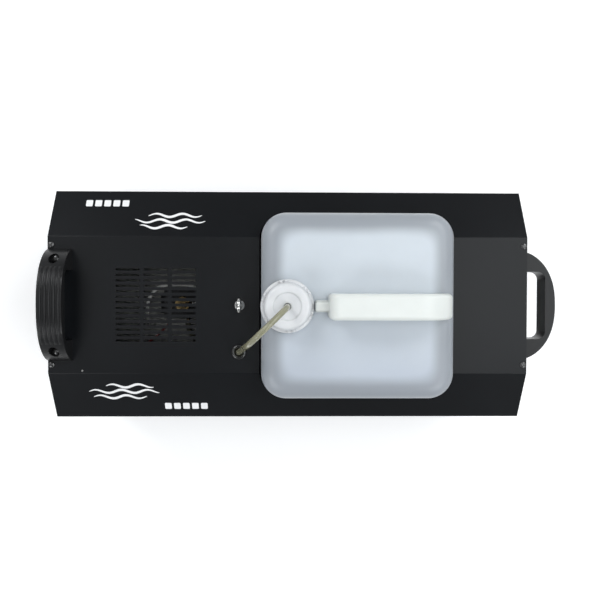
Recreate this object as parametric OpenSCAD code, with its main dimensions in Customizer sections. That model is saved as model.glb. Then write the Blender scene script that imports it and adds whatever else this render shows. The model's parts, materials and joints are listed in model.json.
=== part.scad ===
// Fog machine: folded sheet-metal case with a lift-out fluid bottle, a heated
// nozzle at the -X end and the control panel at the +X end.
// The frame's origin is the centre of the whole box, on the floor under the feet.

/* [Case] */
// Length of the folded cover
case_l = 624; // [600:1:660]
// Width across the two vertical sides
case_w = 304; // [300:1:320]
// Width of the flat top between the slopes
top_w = 178; // [174:1:190]
// Height of the flat top above the floor
top_z = 265; // [262:1:275]
// Drop from the flat top to the foot of each slope
slope_drop = 35; // [30:1:45]
// Thickness of the sheet metal
sheet = 1.5; // [1:0.1:2]
// Height of the rubber feet
foot_h = 15; // [12:1:18]
// Radius of the rubber feet
foot_r = 19; // [15:1:22]

/* [Vents] */
// Number of slot columns
vent_columns = 3; // [2:1:3]
// Number of slots in a column
vent_rows = 14; // [8:1:14]
// Length of one slot
slot_l = 31; // [20:1:32]
// Width of one slot
slot_w = 3; // [2:0.1:4]
// Distance from one slot to the next one in its column
slot_pitch = 7.1; // [6:0.1:7.4]
// Distance from one column to the next
column_pitch = 36.2; // [34:0.1:38]

/* [Bottle] */
// Length of the bottle along the case
bottle_l = 246; // [220:1:246]
// Width of the bottle across the case
bottle_w = 237; // [220:1:240]
// Height of the bottle's body without its neck and handle
bottle_h = 185; // [175:1:186]
// Radius of the bottle's four upright corners
bottle_r = 32; // [25:1:36]
// Radius round the bottle's top and bottom edges
bottle_edge_r = 18; // [12:1:20]
// Wall thickness of the bottle
bottle_wall = 2; // [1.5:0.1:3]
// Gap between the bottle and the edge of its opening
bottle_gap = 3; // [3:0.5:5]
// Radius of the neck
neck_r = 27; // [24:0.5:28]
// Radius of the cap's lower rim
cap_r = 33.5; // [32:0.5:34]
// Height of the cap
cap_h = 24; // [20:1:26]
// Outer radius of the supply hose
hose_r = 3.75; // [3:0.25:3.75]

/* [Handles] */
// Length of a case handle
handle_l = 146; // [140:1:148]
// Width of a case handle
handle_w = 31; // [28:1:32]
// Height of a case handle's bow
handle_h = 46; // [44:1:48]
// Distance between a case handle's two screws
handle_pitch = 118; // [116:1:120]

/* [Hidden] */
$fn = 48;

// How far the nozzle stands out of the front, and the case's place in the box
nozzle_out = 14;
case_x = (nozzle_out - handle_h) / 2;
front_x = case_x - case_l / 2;
rear_x = case_x + case_l / 2;
side_z = top_z - slope_drop;
floor_z = foot_h + sheet;
lid_z = top_z - sheet;

// Places on the cover, from its centre
vent_x = case_x - 173;
grommet_x = -81;
grommet_y = -61;
eye_x = case_x - 64;
screw_x = 307.5;
screw_y = 77.7;
side_screw_x = 255;
side_screw_z = 30;
foot_x = 262;
foot_y = 118;
front_handle_x = case_x - 296;
rear_handle_z = top_z - 34;
seat_z = 14;

// The well and the bottle in it
bottle_x = case_x + 87.5;
bottle_z = top_z + 35 - bottle_h;
bottle_top = bottle_z + bottle_h;
opening_l = bottle_l + 2 * bottle_gap;
opening_w = bottle_w + 2 * bottle_gap;
opening_r = bottle_r + bottle_gap;
well_lap = 1;
cap_x = -18;
neck_top = bottle_top + 22;
seal_h = 2;
cap_z = neck_top + seal_h + 3 - cap_h;
cap_plate = 3;
cap_dish_r = 17.5;
grip_top = top_z + 82;
grip_w = 32;
grip_x1 = 33;
grip_x2 = 150;
grip_x3 = 184;

// The heater, which lies along the case behind the front panel
heater_x = front_x + 130;
heater_z = 78;
block_l = 180;
block_w = 84;
block_h = 66;
lagging = 12;
shell_h = block_h + 2 * lagging + 2;
element_r = 5;
element_y = 22;
nozzle_r = 8;
deck_z = 140;
deck_w = 200;
deck_l = 206;
feed_x = -216;
feed_y = -30;
feed_r = 2.5;

// The pump, which stands on the heat shield
pump_x = -163;
plunger_r = 6;
pump_tube_r = 10;
pump_z = 148;
yoke_z = 160;
yoke_h = 44;
yoke_l = 52;
yoke_w = 40;
spring_z = pump_z + 6;
spring_h = 14;
plunger_h = 26;
pump_top = pump_z + 60;

// The circuit board on its spacers, under the well
board_x = 84;
board_z = floor_z + 10;
board_hole = 54;

// The rear panel's fittings
display_z = 172;
button_z = 141;
button_pitch = 24;
button_r = 4.5;
row_z = 66;
inlet_y = 100;
switch_y = 45;
fuse_y = 5;
dmx_in_y = -50;
dmx_out_y = -105;
dmx_flange_l = 26;
dmx_flange_h = 31;
rocker_tilt = 7;

// The supply hose: straight up through the grommet, leaning over in one bend, and
// down into the cap in another, both of the same radius
hose_low = [68, 120, 170, 215, 243, 256, 268];
hose_drop = [318, 303, 275, 230, 190, 148];
hose_bend = 34;
hose_end_z = 331;
hose_span = norm([cap_x - grommet_x, -grommet_y]);
hose_dir = [cap_x - grommet_x, -grommet_y] / hose_span;
hose_lean = atan((hose_span - 2 * hose_bend) / (hose_end_z - hose_low[6]));
hose_far = hose_span - hose_bend;
lean_s = hose_bend * (1 - cos(hose_lean));
lean_z = hose_low[6] + hose_bend * sin(hose_lean);
function hose_point(s, z) = [grommet_x + hose_dir[0] * s, grommet_y + hose_dir[1] * s, z];
hose_route = concat(
    [for (z = hose_low) hose_point(0, z)],
    [for (i = [0:4])
        hose_point(lean_s + (hose_far - hose_bend) * i / 5, lean_z + (hose_end_z - hose_low[6]) * i / 5)],
    [for (i = [0:8]) let (a = (180 - hose_lean) * (1 - i / 8))
        hose_point(hose_far + hose_bend * cos(a), hose_end_z + hose_bend * sin(a))],
    [for (z = hose_drop) hose_point(hose_span, z)]
);

// Routes of the hoses and leads inside the case, chosen by hand
inlet_route = [
    [-163, -25.5, 151], [-163, -30, 151], [-162, -38, 151], [-155, -50, 151], [-142, -61, 151],
    [-125, -71, 151], [-106, -81, 151], [-90, -91, 147], [-80, -100, 134], [-77, -107, 116],
    [-76, -110, 98], [-78, -107, 82], [-80, -99, 74], [-81, -90, 72], [-81, -85.5, 72]
];
feed_route = [
    [-148.5, 0, 215], [-145, 0, 215], [-139, 4, 215.5], [-136, 13, 216], [-142, 22, 217], [-158, 27, 217.5],
    [-180, 27, 216], [-198, 21, 212], [-209, 8, 206], [-214, -8, 196], [-216, -22, 182],
    [-216, -30, 164], [-216, -30, 140], [-216, -30, 111]
];
pump_lead_route = [
    [-183, -22.5, 197], [-185, -30, 200], [-194, -40, 208], [-206, -50, 208], [-220, -60, 198],
    [-232, -76, 180], [-236, -96, 160], [-230, -110, 120], [-210, -116, 60], [-170, -118, 30],
    [-100, -122, 24], [0, -118, 24], [60, -104, 28], [86, -84, 38], [92, -62, 44], [92, -50, 42],
    [92, -46, 36], [92, -46, 32.5]
];
heater_lead_route = [
    [-86.5, 22, 78], [-82, 22, 78], [-70, 25, 75], [-62, 34, 64], [-56, 46, 48],
    [-44, 60, 34], [-20, 68, 30], [14, 68, 34], [40, 52, 48], [52, 30, 62], [56, 8, 68], [56, -5, 64],
    [56, -6, 58], [56, -6, 53.5]
];

// ---------------------------------------------------------------- helpers

// Flat rectangle with round corners, centred
module round_rect(l, w, r) {
    square([l - 2 * r, w], center = true);
    square([l, w - 2 * r], center = true);
    for (x = [-1, 1], y = [-1, 1])
        translate([x * (l / 2 - r), y * (w / 2 - r)]) circle(r);
}

// Plate or block with round upright corners
module round_slab(l, w, h, r) {
    linear_extrude(h) round_rect(l, w, r);
}

// Box centred along X and Y that stands on z = 0
module block(l, w, h) {
    translate([-l / 2, -w / 2, 0]) cube([l, w, h]);
}

// Cylinder along +X from the origin
module rod_x(r, l) {
    rotate([0, 90, 0]) cylinder(r = r, h = l);
}

// Pan-head screw whose head stands on z = 0
module pan_screw(head_r, head_h, shank_r, shank_l) {
    difference() {
        cylinder(r = head_r, h = head_h);
        for (a = [0, 90])
            rotate([0, 0, a]) translate([-head_r * 0.55, -head_r * 0.1, head_h * 0.5])
                cube([head_r * 1.1, head_r * 0.2, head_h]);
    }
    translate([0, 0, -shank_l]) cylinder(r = shank_r, h = shank_l);
}

// Box with all its edges round, from eight rounded discs
module soft_box(l, w, h, corner_r, edge_r) {
    hull()
        for (x = [-1, 1], y = [-1, 1])
            translate([x * (l / 2 - corner_r), y * (w / 2 - corner_r), 0]) {
                translate([0, 0, edge_r]) round_disc(corner_r, edge_r);
                translate([0, 0, h - edge_r]) round_disc(corner_r, edge_r);
            }
}

// Disc of radius r with a rim rounded by edge_r, one corner of a soft box
module round_disc(r, edge_r) {
    rotate_extrude($fn = 32)
        intersection() {
            translate([r - edge_r, 0]) circle(edge_r, $fn = 16);
            translate([0, -edge_r]) square([r, 2 * edge_r]);
        }
}

function unit(v) = v / norm(v);
function way(p, i) = unit(p[min(i + 1, len(p) - 1)] - p[max(i - 1, 0)]);
function first_side(t) = unit(cross(t, abs(t[2]) > 0.8 ? [1, 0, 0] : [0, 0, 1]));
function side_at(p, i) = i == 0 ? first_side(way(p, 0))
    : let (s = side_at(p, i - 1), t = way(p, i)) unit(s - t * (s * t));

// Catmull-Rom curve through the points of a route
function curve_point(a, b, c, d, t) = 0.5 * (2 * b + (c - a) * t
    + (2 * a - 5 * b + 4 * c - d) * t * t + (3 * b - a - 3 * c + d) * t * t * t);
function smooth(p, steps) = let (n = len(p) - 1) concat(
    [for (i = [0:n - 1], k = [0:steps - 1])
        curve_point(p[max(i - 1, 0)], p[i], p[i + 1], p[min(i + 2, n)], k / steps)],
    [p[n]]);

// Round tube swept along a list of points
module tube(p, r, sides) {
    n = len(p);
    rings = [for (i = [0:n - 1]) let (s = side_at(p, i), u = cross(way(p, i), s))
        for (k = [0:sides - 1]) p[i] + r * (cos(360 * k / sides) * s + sin(360 * k / sides) * u)];
    walls = [for (i = [0:n - 2], k = [0:sides - 1]) let (j = (k + 1) % sides)
        [i * sides + k, (i + 1) * sides + k, (i + 1) * sides + j, i * sides + j]];
    start = [for (k = [0:sides - 1]) k];
    end = [for (k = [sides - 1:-1:0]) (n - 1) * sides + k];
    polyhedron(rings, concat([start], walls, [end]), convexity = 6);
}

// ---------------------------------------------------------------- case

// Outline of the case across its length, drawn in by a margin
module case_outline(margin, bottom) {
    half_w = case_w / 2 - margin;
    half_top = top_w / 2 - margin * 0.3;
    slope_z = side_z - margin * 0.6;
    polygon([
        [-half_w, bottom], [half_w, bottom], [half_w, slope_z], [half_top, top_z - margin],
        [-half_top, top_z - margin], [-half_w, slope_z]
    ]);
}

// Length of the outline along X, starting at x
module outline_run(x, l, margin, bottom) {
    translate([x, 0, 0]) rotate([90, 0, 90]) linear_extrude(l) case_outline(margin, bottom);
}

module vent_slots() {
    for (c = [0:vent_columns - 1], r = [0:vent_rows - 1])
        translate([
            vent_x + (c - (vent_columns - 1) / 2) * column_pitch,
            (r - (vent_rows - 1) / 2) * slot_pitch,
            lid_z - 1
        ]) block(slot_l, slot_w, sheet + 2);
}

module cover() {
    color([0.07, 0.07, 0.08])
        difference() {
            outline_run(front_x, case_l, 0, foot_h);
            outline_run(front_x - 1, case_l + 2, sheet, foot_h - 1);
            vent_slots();
            translate([bottle_x, 0, side_z - 50]) round_slab(opening_l, opening_w, 120, opening_r);
            translate([grommet_x, grommet_y, lid_z - 1]) cylinder(r = 7, h = sheet + 2);
            translate([eye_x, 0, lid_z - 1]) cylinder(r = 3.2, h = sheet + 2);
            for (x = [-1, 1], y = [-1, 1])
                translate([case_x + x * screw_x, y * screw_y, lid_z - 1]) cylinder(r = 2.1, h = sheet + 2);
            for (y = [-1, 1])
                translate([front_handle_x, y * handle_pitch / 2, lid_z - 1])
                    cylinder(r = 2.7, h = sheet + 2);
            for (x = [-1, 0, 1])
                translate([case_x + x * side_screw_x, -case_w / 2 - 1, side_screw_z])
                    rotate([-90, 0, 0]) cylinder(r = 2.1, h = case_w + 2);
        }
}

module base_pan() {
    inner_w = case_w - 2 * sheet;
    color([0.09, 0.09, 0.1])
        difference() {
            translate([case_x, 0, foot_h]) block(case_l, inner_w, 26);
            translate([case_x, 0, floor_z]) block(case_l + 2, inner_w - 2 * sheet, 40);
            for (x = [-1, 1], y = [-1, 1])
                translate([case_x + x * foot_x, y * foot_y, foot_h - 1]) cylinder(r = 2.7, h = sheet + 2);
            for (x = [-1, 0, 1])
                translate([case_x + x * side_screw_x, -case_w / 2, side_screw_z])
                    rotate([-90, 0, 0]) cylinder(r = 2.1, h = case_w);
        }
}

// End plate that fills the cover's section, with a flange folded in under the top
module end_plate(x, flange_x) {
    intersection() {
        outline_run(front_x, case_l, sheet, floor_z);
        union() {
            translate([x, -(case_w / 2 - 2 * sheet), floor_z]) cube([sheet, case_w - 4 * sheet, top_z]);
            translate([flange_x, -86, lid_z - sheet]) cube([12, 172, sheet]);
        }
    }
}

module top_screw_holes(x) {
    for (y = [-1, 1])
        translate([x, y * screw_y, lid_z - 5]) cylinder(r = 1.8, h = 6);
}

module front_panel() {
    color([0.08, 0.08, 0.09])
        difference() {
            end_plate(front_x, front_x);
            top_screw_holes(case_x - screw_x);
            translate([front_x - 1, 0, heater_z]) rod_x(nozzle_r + 3, sheet + 2);
            for (z = [0:7], y = [-1, 1])
                translate([front_x - 1, y * 85 - 26, 50 + z * 12]) cube([sheet + 2, 52, 4]);
        }
}

module rear_panel() {
    x = rear_x - sheet;
    color([0.08, 0.08, 0.09])
        difference() {
            end_plate(x, rear_x - 12);
            top_screw_holes(case_x + screw_x);
            for (y = [-1, 1])
                translate([x - 1, y * handle_pitch / 2, rear_handle_z]) rod_x(2.7, sheet + 2);
            translate([x - 1, -39, display_z - 16]) cube([sheet + 2, 78, 32]);
            for (i = [0:3])
                translate([x - 1, (i - 1.5) * button_pitch, button_z]) rod_x(button_r + 0.5, sheet + 2);
            translate([x - 1, switch_y - 13.4, row_z - 10.4]) cube([sheet + 2, 26.8, 20.8]);
            translate([x - 1, inlet_y - 17, row_z - 13]) cube([sheet + 2, 34, 26]);
            translate([x - 1, fuse_y, row_z]) rod_x(6.6, sheet + 2);
            for (y = [dmx_in_y, dmx_out_y])
                translate([x - 1, y, row_z]) rod_x(11.8, sheet + 2);
            translate([x - 1, dmx_out_y - 4.5, row_z + 7]) cube([sheet + 2, 9, 7.2]);
            socket_screw_places() translate([0, 0, -sheet - 1]) cylinder(r = 1.6, h = sheet + 2);
        }
}

module bottle_well() {
    l = opening_l + 2 * well_lap;
    w = opening_w + 2 * well_lap;
    r = opening_r + well_lap;
    color([0.1, 0.1, 0.11])
        intersection() {
            difference() {
                translate([bottle_x, 0, bottle_z - sheet])
                    round_slab(l + 2 * sheet, w + 2 * sheet, top_z, r + sheet);
                translate([bottle_x, 0, bottle_z]) round_slab(l, w, top_z, r);
                for (x = [-1, 1])
                    translate([bottle_x + x * 90, 0, bottle_z - 5]) cylinder(r = 4, h = 10);
            }
            outline_run(front_x, case_l, sheet, foot_h);
        }
}

module cover_screws() {
    color([0.16, 0.16, 0.17]) {
        for (x = [-1, 1], y = [-1, 1])
            translate([case_x + x * screw_x, y * screw_y, top_z]) pan_screw(4, 2, 1.7, 8);
        for (x = [-1, 0, 1], y = [-1, 1])
            translate([case_x + x * side_screw_x, y * case_w / 2, side_screw_z])
                rotate([-90 * y, 0, 0]) pan_screw(4, 2, 2, 7);
    }
}

module rubber_feet() {
    color([0.05, 0.05, 0.05])
        for (x = [-1, 1], y = [-1, 1])
            translate([case_x + x * foot_x, y * foot_y, 0])
                difference() {
                    cylinder(r = foot_r, h = foot_h);
                    translate([0, 0, -1]) cylinder(r = 6.5, h = 6);
                    cylinder(r = 2.7, h = foot_h + 1);
                }
}

module foot_screws() {
    color([0.6, 0.6, 0.62])
        for (x = [-1, 1], y = [-1, 1])
            translate([case_x + x * foot_x, y * foot_y, 5]) rotate([180, 0, 0]) pan_screw(5.5, 3, 2.5, 15);
}

// ---------------------------------------------------------------- case handles

// Height of the handle's bow at a distance y from its middle
function bow_z(y) = let (end = abs(y) / (handle_l / 2)) handle_h * sqrt(max(0, 1 - pow(end, 2.5)));

// Side outline of the bow: a full, slightly crowned arch with a flat base
module bow_outline(drop) {
    steps = 28;
    polygon([for (i = [0:steps])
        let (y = handle_l / 2 * sin(-90 + 180 * i / steps))
        [y, max(0, bow_z(y) - drop - 5 * pow(y / (handle_l / 2), 2))]]);
}

module finger_gap() {
    gap_l = 90;
    gap_h = 31;
    steps = 12;
    polygon(concat(
        [[gap_l / 2, -1], [gap_l / 2, gap_h - 8]],
        [for (i = [1:steps - 1]) let (a = 180 * i / steps)
            [gap_l / 2 * cos(a), gap_h - 8 + 8 * sin(a)]],
        [[-gap_l / 2, gap_h - 8], [-gap_l / 2, -1]]));
}

// Slice of the handle's arch across its width, centred on x = 0
module arch_slice(x, w, drop) {
    translate([x - w / 2, 0, 0]) rotate([90, 0, 90]) linear_extrude(w)
        difference() {
            bow_outline(drop);
            finger_gap();
        }
}

module case_handle() {
    rib_count = 5;
    rib_pitch = 6;
    rib_h = 1.4;
    color([0.12, 0.12, 0.13])
        difference() {
            union() {
                arch_slice(0, handle_w, rib_h);
                intersection() {
                    for (i = [0:rib_count - 1])
                        arch_slice((i - (rib_count - 1) / 2) * rib_pitch, 3.2, 0);
                    translate([0, 0, -1]) block(handle_w, 106, handle_h + 5);
                }
            }
            for (y = [-1, 1])
                translate([0, y * handle_pitch / 2, 0]) {
                    translate([0, 0, seat_z]) cylinder(r = 6.5, h = handle_h);
                    translate([0, 0, -1]) cylinder(r = 2.7, h = seat_z + 2);
                }
        }
}

module handle_screw_pair() {
    for (y = [-1, 1])
        translate([0, y * handle_pitch / 2, seat_z]) pan_screw(4.8, 3, 2.5, seat_z + 10);
}

module at_front_handle() {
    translate([front_handle_x, 0, top_z]) children();
}

module at_rear_handle() {
    translate([rear_x, 0, rear_handle_z]) rotate([0, 90, 0]) children();
}

module front_handle() {
    at_front_handle() case_handle();
}

module rear_handle() {
    at_rear_handle() case_handle();
}

module handle_screws() {
    color([0.55, 0.55, 0.57]) {
        at_front_handle() handle_screw_pair();
        at_rear_handle() handle_screw_pair();
    }
}

// ---------------------------------------------------------------- fittings on the cover

module safety_eye() {
    wire_r = 2.5;
    ring_r = 8.5;
    hole_r = 6.5;
    collar_h = 4;
    color([0.8, 0.8, 0.82])
        translate([eye_x, 0, top_z]) {
            cylinder(r = 7, h = collar_h);
            translate([0, 0, -14]) cylinder(r = 3, h = 14);
            translate([0, 0, collar_h + ring_r + 1]) rotate([0, 90, 0])
                difference() {
                    rotate_extrude() translate([ring_r, 0]) circle(wire_r);
                    translate([0, 0, -5]) cylinder(r = hole_r, h = 10);
                }
        }
}

module eye_nut() {
    color([0.7, 0.7, 0.72])
        translate([eye_x, 0, lid_z - 5])
            difference() {
                cylinder(r = 5.8, h = 5, $fn = 6);
                translate([0, 0, -1]) cylinder(r = 3.05, h = 7);
            }
}

module hose_grommet() {
    color([0.04, 0.04, 0.04])
        translate([grommet_x, grommet_y, 0])
            rotate_extrude()
                polygon([
                    [hose_r + 0.5, lid_z - 4], [9.2, lid_z - 4], [9.2, lid_z], [6.8, lid_z],
                    [6.8, top_z], [10, top_z], [10, top_z + 1.5], [8.2, top_z + 3.6],
                    [6.4, top_z + 3.6], [hose_r + 0.5, top_z + 2]
                ]);
}

// Push-in fitting on the base pan that takes the lower end of the supply hose
module hose_coupling() {
    color([0.75, 0.6, 0.3])
        translate([grommet_x, grommet_y, 0])
            difference() {
                union() {
                    translate([0, 0, floor_z]) round_slab(34, 30, 2, 5);
                    translate([0, 0, floor_z]) cylinder(r = 6, h = 44);
                    translate([0, 0, 58]) cylinder(r = 9, h = 26);
                    translate([0, -24, 72]) rotate([-90, 0, 0]) cylinder(r = 3, h = 20);
                }
                translate([0, 0, 67]) cylinder(r = hose_r + 0.3, h = 30);
            }
}

// ---------------------------------------------------------------- heater

module heater_box(margin) {
    l = block_l + 2 * margin;
    w = block_w + 2 * margin;
    h = block_h + 2 * margin;
    translate([heater_x, 0, heater_z - h / 2]) block(l, w, h);
}

// The nozzle, the elements and the feed tube pass through the insulation and shell
module heater_passages(gap) {
    translate([front_x - 20, 0, heater_z]) rod_x(nozzle_r + gap, 20 + heater_x - block_l / 2 - front_x);
    for (y = [-1, 1])
        translate([heater_x, y * element_y, heater_z]) rod_x(element_r + gap, block_l);
    translate([feed_x, feed_y, heater_z + block_h / 2]) cylinder(r = feed_r + gap, h = 60);
}

module heater_block() {
    color([0.72, 0.72, 0.74])
        difference() {
            heater_box(0);
            for (y = [-1, 1])
                translate([heater_x - block_l / 2 + 6, y * element_y, heater_z])
                    rod_x(element_r + 0.05, block_l);
        }
}

module heater_elements() {
    color([0.5, 0.48, 0.45])
        for (y = [-1, 1])
            translate([heater_x - block_l / 2 + 6, y * element_y, heater_z]) rod_x(element_r, 195);
}

module heater_insulation() {
    color([0.93, 0.9, 0.82])
        difference() {
            heater_box(lagging);
            heater_box(0);
            heater_passages(0.4);
        }
}

module heater_shell() {
    color([0.68, 0.68, 0.7])
        difference() {
            heater_box(lagging + 1);
            heater_box(lagging);
            heater_passages(0.8);
        }
}

module heater_brackets() {
    top = heater_z - shell_h / 2;
    color([0.66, 0.66, 0.68])
        for (x = [-1, 1])
            translate([heater_x + x * 70, 0, 0]) {
                translate([0, 0, top - sheet]) block(24, 140, sheet);
                for (y = [-1, 1]) {
                    translate([0, y * (70 - sheet / 2), floor_z]) block(24, sheet, top - floor_z);
                    translate([0, y * 79, floor_z]) block(24, 18, sheet);
                }
            }
}

module heat_shield() {
    flange = 12;
    color([0.7, 0.7, 0.72])
        difference() {
            union() {
                translate([heater_x, 0, deck_z]) block(deck_l, deck_w, sheet);
                for (y = [-1, 1]) {
                    translate([heater_x, y * (deck_w - sheet) / 2, floor_z])
                        block(deck_l, sheet, deck_z - floor_z);
                    translate([heater_x, y * (deck_w + flange) / 2, floor_z]) block(deck_l, flange, sheet);
                }
            }
            translate([feed_x, feed_y, deck_z - 1]) cylinder(r = feed_r + 1, h = sheet + 2);
        }
}

module thermostat() {
    top = heater_z + shell_h / 2;
    color([0.85, 0.83, 0.78])
        translate([heater_x - 52, 0, top]) {
            cylinder(r = 12, h = 7);
            for (y = [-1, 1])
                translate([0, y * 6, 7]) block(0.8, 6.3, 6);
        }
    color([0.6, 0.6, 0.62])
        translate([heater_x - 52, 0, top])
            difference() {
                round_slab(40, 14, 1, 5);
                translate([0, 0, -1]) cylinder(r = 12, h = 4);
            }
}

module nozzle() {
    l = heater_x - block_l / 2 - front_x + nozzle_out;
    color([0.8, 0.66, 0.35])
        translate([front_x - nozzle_out, 0, heater_z])
            difference() {
                union() {
                    rod_x(nozzle_r, l);
                    translate([2, 0, 0]) rotate([0, 90, 0]) cylinder(r = 11, h = 8, $fn = 6);
                }
                translate([-1, 0, 0]) rod_x(4.2, 8);
                rod_x(1.5, l + 1);
            }
}

module nozzle_plate() {
    color([0.75, 0.75, 0.77])
        translate([front_x - 2, 0, heater_z])
            difference() {
                rod_x(26, 2);
                translate([-1, 0, 0]) rod_x(nozzle_r + 0.6, 4);
                for (a = [45:90:315])
                    rotate([a, 0, 0]) translate([-1, 20, 0]) rod_x(1.6, 4);
            }
}

// ---------------------------------------------------------------- pump

module pump_yoke() {
    color([0.74, 0.74, 0.76])
        translate([pump_x, 0, yoke_z])
            difference() {
                block(yoke_l, yoke_w, yoke_h);
                translate([0, 0, 2]) block(yoke_l - 4, yoke_w + 2, yoke_h - 4);
                translate([0, 0, -1]) cylinder(r = pump_tube_r + 0.2, h = yoke_h + 2);
            }
}

module pump_coil() {
    color([0.1, 0.1, 0.35])
        translate([pump_x, 0, yoke_z + 2.2])
            difference() {
                union() {
                    cylinder(r = 19, h = 3);
                    cylinder(r = 17.5, h = yoke_h - 4.4);
                    translate([0, 0, yoke_h - 7.4]) cylinder(r = 19, h = 3);
                    translate([-20, -17, yoke_h - 12]) block(6, 9, 7);
                }
                translate([0, 0, -1]) cylinder(r = pump_tube_r + 0.2, h = yoke_h);
            }
}

module pump_tube() {
    color([0.82, 0.8, 0.74])
        translate([pump_x, 0, pump_z])
            difference() {
                union() {
                    cylinder(r = pump_tube_r, h = pump_top - pump_z);
                    translate([0, -25, 3]) rotate([-90, 0, 0]) cylinder(r = 2.6, h = 20);
                }
                translate([0, 0, 6]) cylinder(r = plunger_r + 0.1, h = 80);
            }
}

module pump_plunger() {
    color([0.6, 0.6, 0.62])
        translate([pump_x, 0, spring_z + spring_h])
            difference() {
                cylinder(r = plunger_r, h = plunger_h);
                translate([0, 0, -1]) cylinder(r = 1.5, h = plunger_h + 2);
            }
}

module pump_spring() {
    wire_r = 0.6;
    turns = 5;
    per_turn = 12;
    steps = turns * per_turn;
    helix = [for (i = [0:steps]) [
        pump_x + 4.8 * cos(360 * i / per_turn),
        4.8 * sin(360 * i / per_turn),
        spring_z + 1 + (spring_h - 2) * i / steps
    ]];
    color([0.8, 0.8, 0.82]) tube(helix, wire_r, 6);
}

module pump_outlet() {
    color([0.85, 0.75, 0.45])
        translate([pump_x, 0, pump_top]) {
            cylinder(r = 9.5, h = 5, $fn = 6);
            cylinder(r = 6, h = 11);
            translate([0, 0, 7]) rod_x(3, 14);
        }
}

module pump_bracket() {
    reach = yoke_l / 2 + sheet;
    deck = deck_z + sheet;
    color([0.7, 0.7, 0.72])
        translate([pump_x, 0, 0]) {
            for (x = [-1, 1]) {
                translate([x * (reach - sheet / 2), 0, deck]) block(sheet, 30, yoke_z + 24 - deck);
                translate([x * (reach + 7), 0, deck]) block(14, 30, sheet);
            }
        }
}

module feed_tube() {
    color([0.78, 0.76, 0.7]) tube(smooth(feed_route, 4), feed_r, 8);
}

module inlet_hose() {
    color([0.8, 0.79, 0.62]) tube(smooth(inlet_route, 3), 3.5, 8);
}

module pump_leads() {
    color([0.5, 0.05, 0.05]) tube(smooth(pump_lead_route, 4), 1.5, 6);
}

module heater_leads() {
    color([0.85, 0.83, 0.78]) tube(smooth(heater_lead_route, 4), 2, 6);
}

// ---------------------------------------------------------------- electronics

module board_corners() {
    for (x = [-1, 1], y = [-1, 1])
        translate([board_x + x * board_hole, y * board_hole, 0]) children();
}

module board_spacers() {
    color([0.85, 0.75, 0.4])
        board_corners() translate([0, 0, floor_z]) cylinder(r = 3, h = board_z - floor_z);
}

module circuit_board() {
    color([0.05, 0.3, 0.12])
        difference() {
            translate([board_x, 0, board_z]) block(120, 120, 1.6);
            board_corners() translate([0, 0, board_z - 1]) cylinder(r = 1.6, h = 4);
        }
    color([0.1, 0.1, 0.1])
        translate([board_x, 0, board_z + 1.6]) {
            translate([30, 20, 0]) block(26, 26, 2);
            translate([36, -30, 0]) block(14, 40, 12);
            translate([8, -46, 0]) block(12, 10, 4);
            translate([-8, 28, 0]) block(16, 8, 8);
        }
}

module relays() {
    color([0.1, 0.25, 0.6])
        for (y = [-24, 4])
            translate([board_x - 28, y - 10, board_z + 1.6]) block(30, 22, 25);
}

module transformer() {
    color([0.35, 0.35, 0.37])
        translate([248, -100, floor_z]) {
            translate([0, 0, 3]) block(50, 20, 44);
            block(66, 20, 3);
        }
    color([0.75, 0.6, 0.2])
        translate([248, -100, floor_z + 12]) difference() {
            block(32, 40, 26);
            translate([0, 0, -1]) block(50, 20, 40);
        }
}

// ---------------------------------------------------------------- rear panel fittings

module display_housing() {
    color([0.05, 0.05, 0.06])
        translate([rear_x, 0, display_z])
            difference() {
                union() {
                    translate([3, 0, 0]) rotate([0, -90, 0]) round_slab(44, 92, 3, 5);
                    translate([-22, -38.5, -15.5]) cube([22, 77, 31]);
                }
                translate([-6, -34, -13]) cube([20, 68, 26]);
            }
}

module display_window() {
    color([0.25, 0.45, 0.35])
        translate([rear_x - 5.9, -33.8, display_z - 12.8]) cube([7.4, 67.6, 25.6]);
}

module menu_button(i) {
    color([0.1, 0.1, 0.11])
        translate([rear_x, (i - 2.5) * button_pitch, button_z]) {
            translate([-8, 0, 0]) rod_x(button_r, 12);
            translate([-8, 0, 0]) rod_x(button_r + 1.5, 2.5);
        }
}

module menu_button_1() {
    menu_button(1);
}

module menu_button_2() {
    menu_button(2);
}

module menu_button_3() {
    menu_button(3);
}

module menu_button_4() {
    menu_button(4);
}

module power_switch_frame() {
    color([0.04, 0.04, 0.04])
        translate([rear_x, switch_y, row_z])
            difference() {
                union() {
                    translate([2, 0, 0]) rotate([0, -90, 0]) round_slab(25, 32, 2, 2);
                    translate([-20, -13, -10]) cube([20, 26, 20]);
                }
                translate([-9, -11.5, -8.5]) cube([20, 23, 17]);
            }
}

// Rocker pivoted along Z, at rest with its -Y end pressed in
module power_rocker() {
    half_l = 10.6;
    half_h = 8.1;
    color([0.75, 0.06, 0.05])
        translate([rear_x - 2, switch_y, row_z - half_h])
            rotate([0, 0, -rocker_tilt])
                linear_extrude(2 * half_h)
                    polygon([[-4, -half_l], [3.6, -half_l], [1.6, 0], [3.6, half_l], [-4, half_l]]);
}

module mains_inlet() {
    color([0.05, 0.05, 0.05])
        translate([rear_x, inlet_y, row_z]) {
            difference() {
                union() {
                    translate([2.5, 0, 0]) rotate([0, -90, 0]) round_slab(30, 60, 2.5, 6);
                    translate([-30, -16.5, -12.5]) cube([30, 33, 25]);
                }
                translate([-19, -14, -10]) cube([30, 28, 20]);
                for (y = [-1, 1])
                    translate([-1, y * 24, 0]) rod_x(1.8, 5);
            }
        }
    color([0.75, 0.75, 0.7])
        translate([rear_x - 19.5, inlet_y, row_z]) {
            for (y = [-1, 1])
                translate([0, y * 6.5 - 1, -6]) cube([14, 2, 8]);
            translate([0, -1, 0]) cube([14, 2, 8]);
        }
}

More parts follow.
